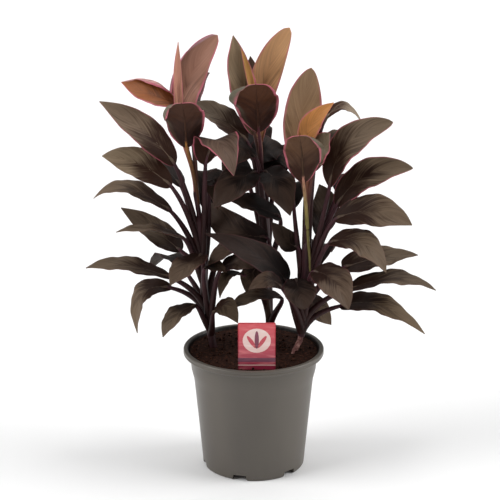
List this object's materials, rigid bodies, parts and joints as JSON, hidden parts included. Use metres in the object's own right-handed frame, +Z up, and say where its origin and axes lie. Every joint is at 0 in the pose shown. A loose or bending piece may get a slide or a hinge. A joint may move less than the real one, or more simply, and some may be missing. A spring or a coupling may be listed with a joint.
{
  "type": "ti plant",
  "caption": "Potted ti plant with leafy stems of dark waved leaves and bronze-pink young leaves, in a round tapered nursery pot with soil and a plain plant label.",
  "frame": {"origin": "centre of the pot's underside, on the surface the pot stands on", "axes": "+Z up, +X to the right seen from the front, +Y away from the front, where the label stands"},
  "size_m": [0.4184, 0.2154, 0.5303],
  "materials": {
    "pot_plastic": "satin",
    "peat": "matte",
    "label_card": "gloss",
    "mature_leaf": "satin",
    "young_leaf": "satin",
    "cane_bark": "matte"
  },
  "bodies": {
    "root": {"pot": "pot_plastic", "soil": "peat", "plant_label": "label_card", "left_leafy_stem": "mature_leaf", "left_young_leaves": "young_leaf", "middle_leafy_stem": "mature_leaf", "middle_young_leaves": "young_leaf", "right_cane": "cane_bark", "right_leafy_stem": "mature_leaf", "right_young_leaves": "young_leaf"}
  },
  "joints": []
}
